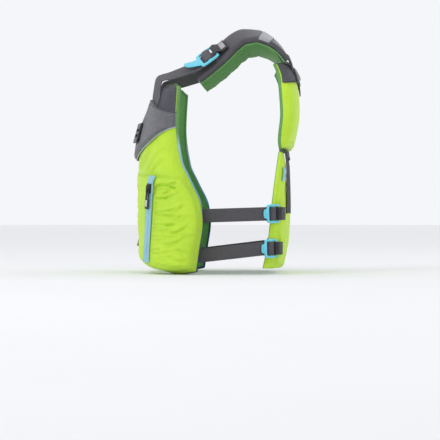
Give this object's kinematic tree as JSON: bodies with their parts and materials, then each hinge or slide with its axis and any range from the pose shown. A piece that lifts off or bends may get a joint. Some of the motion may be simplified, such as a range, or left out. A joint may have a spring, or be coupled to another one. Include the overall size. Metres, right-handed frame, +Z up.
{
  "type": "life jacket",
  "caption": "Zip-front paddling life jacket with foam front halves, cargo pockets, padded adjustable shoulders, a foam back panel and an open mesh lower back.",
  "frame": {"origin": "centre of the bounding box's footprint, at the hem of the front halves", "axes": "+Z up, the wearer faces -Y, the wearer's left side is +X"},
  "size_m": [0.3412, 0.3189, 0.4575],
  "materials": {
    "lime_fabric": "woven ripstop nylon",
    "heather_fabric": "heather knit-look polyester",
    "charcoal_fabric": "plain woven nylon",
    "neoprene": "smooth coated neoprene",
    "green_lining": "brushed lining",
    "foam": "closed-cell foam",
    "sky_plastic": "moulded acetal",
    "sky_tape": "coil zip on woven tape",
    "charcoal_webbing": "flat nylon webbing",
    "black_webbing": "flat nylon webbing",
    "black_zip": "moulded-tooth zip on woven tape",
    "black_plastic": "moulded",
    "silver_film": "retroreflective film",
    "mesh_fabric": "open knit mesh"
  },
  "bodies": {
    "back": {"back_foam": "foam", "back_shell": "lime_fabric", "back_lining": "green_lining", "back_yoke": "charcoal_fabric", "back_mesh": "mesh_fabric", "mesh_binding": "black_webbing", "waist_band": "lime_fabric", "waist_band_lining": "green_lining", "shoulder_pad_left": "neoprene", "shoulder_lining_left": "green_lining", "reflective_band_left": "silver_film", "shoulder_anchor_left": "black_webbing", "side_anchor_upper_left": "black_webbing", "side_anchor_lower_left": "black_webbing", "shoulder_pad_right": "neoprene", "shoulder_lining_right": "green_lining", "reflective_band_right": "silver_film", "shoulder_anchor_right": "black_webbing", "side_anchor_upper_right": "black_webbing", "side_anchor_lower_right": "black_webbing"},
    "front_left": {"front_foam_left": "foam", "front_shell_left": "lime_fabric", "front_lining_left": "green_lining", "chest_panel_left": "heather_fabric", "front_yoke_left": "charcoal_fabric", "cargo_pocket_left": "lime_fabric", "pocket_zip_left": "sky_tape", "shoulder_strap_left": "charcoal_webbing", "side_strap_upper_left": "charcoal_webbing", "side_strap_lower_left": "charcoal_webbing", "strap_tail_left": "charcoal_webbing", "lash_tab_left": "black_plastic", "front_zip_left": "black_zip"},
    "pocket_slider_left": {"pocket_slider_left": "black_plastic"},
    "pocket_pull_left": {"pocket_pull_left": "black_plastic"},
    "shoulder_lock_left": {"shoulder_lock_left": "sky_plastic"},
    "side_lock_upper_left": {"side_lock_upper_left": "sky_plastic"},
    "side_lock_lower_left": {"side_lock_lower_left": "sky_plastic"},
    "front_right": {"front_foam_right": "foam", "front_shell_right": "lime_fabric", "front_lining_right": "green_lining", "chest_panel_right": "heather_fabric", "front_yoke_right": "charcoal_fabric", "cargo_pocket_right": "lime_fabric", "pocket_zip_right": "sky_tape", "shoulder_strap_right": "charcoal_webbing", "side_strap_upper_right": "charcoal_webbing", "side_strap_lower_right": "charcoal_webbing", "strap_tail_right": "charcoal_webbing", "lash_tab_right": "black_plastic", "front_zip_right": "black_zip"},
    "pocket_slider_right": {"pocket_slider_right": "black_plastic"},
    "pocket_pull_right": {"pocket_pull_right": "black_plastic"},
    "shoulder_lock_right": {"shoulder_lock_right": "sky_plastic"},
    "side_lock_upper_right": {"side_lock_upper_right": "sky_plastic"},
    "side_lock_lower_right": {"side_lock_lower_right": "sky_plastic"},
    "front_zip_slider": {"front_zip_slider": "black_plastic"},
    "front_zip_pull": {"front_zip_pull": "black_plastic"}
  },
  "joints": [
    {"name": "front_left_opens", "type": "hinge", "parent": "back", "child": "front_left", "pos_m": [0.1385, 0.03, 0.072], "axis": [-0.1585, -0.3108, 0.9372], "range_deg": [0, 60], "deforming": ["shoulder_strap_left", "side_strap_upper_left", "side_strap_lower_left"]},
    {"name": "pocket_zip_left_slides", "type": "slide", "parent": "front_left", "child": "pocket_slider_left", "axis": [-0.0993, -0.0638, -0.993], "range_m": [0, 0.122]},
    {"name": "pocket_pull_left_lifts", "type": "hinge", "parent": "pocket_slider_left", "child": "pocket_pull_left", "pos_m": [0.13494, -0.12466, 0.15805], "axis": [-0.8084, -0.5768, 0.1179], "range_deg": [0, 110]},
    {"name": "shoulder_lock_left_tilts", "type": "hinge", "parent": "back", "child": "shoulder_lock_left", "pos_m": [0.09446, -0.0023, 0.41555], "axis": [-0.8365, -0.3234, 0.4424], "range_deg": [0, 32]},
    {"name": "side_lock_upper_left_tilts", "type": "hinge", "parent": "back", "child": "side_lock_upper_left", "pos_m": [0.1313, 0.11675, 0.112], "axis": [0.0162, -0.0243, 0.9996], "range_deg": [0, 32]},
    {"name": "side_lock_lower_left_tilts", "type": "hinge", "parent": "back", "child": "side_lock_lower_left", "pos_m": [0.12939, 0.11249, 0.048], "axis": [0.0164, -0.0239, 0.9996], "range_deg": [0, 32]},
    {"name": "front_right_opens", "type": "hinge", "parent": "back", "child": "front_right", "pos_m": [-0.1385, 0.03, 0.072], "axis": [-0.1585, 0.3108, -0.9372], "range_deg": [0, 60], "deforming": ["shoulder_strap_right", "side_strap_upper_right", "side_strap_lower_right"]},
    {"name": "pocket_zip_right_slides", "type": "slide", "parent": "front_right", "child": "pocket_slider_right", "axis": [0.0993, -0.0638, -0.993], "range_m": [0, 0.122]},
    {"name": "pocket_pull_right_lifts", "type": "hinge", "parent": "pocket_slider_right", "child": "pocket_pull_right", "pos_m": [-0.13494, -0.12466, 0.15805], "axis": [-0.8084, 0.5768, -0.1179], "range_deg": [0, 110]},
    {"name": "shoulder_lock_right_tilts", "type": "hinge", "parent": "back", "child": "shoulder_lock_right", "pos_m": [-0.09446, -0.0023, 0.41555], "axis": [-0.8365, 0.3234, -0.4424], "range_deg": [0, 32]},
    {"name": "side_lock_upper_right_tilts", "type": "hinge", "parent": "back", "child": "side_lock_upper_right", "pos_m": [-0.1313, 0.11675, 0.112], "axis": [0.0162, 0.0243, -0.9996], "range_deg": [0, 32]},
    {"name": "side_lock_lower_right_tilts", "type": "hinge", "parent": "back", "child": "side_lock_lower_right", "pos_m": [-0.12939, 0.11249, 0.048], "axis": [0.0164, 0.0239, -0.9996], "range_deg": [0, 32]},
    {"name": "front_zip_slides", "type": "slide", "parent": "front_right", "child": "front_zip_slider", "axis": [0, -0.0572, 0.9984], "range_m": [-0.168, 0]},
    {"name": "front_zip_pull_lifts", "type": "hinge", "parent": "front_zip_slider", "child": "front_zip_pull", "pos_m": [0, -0.12422, 0.22771], "axis": [-1, 0, 0], "range_deg": [0, 110]}
  ]
}
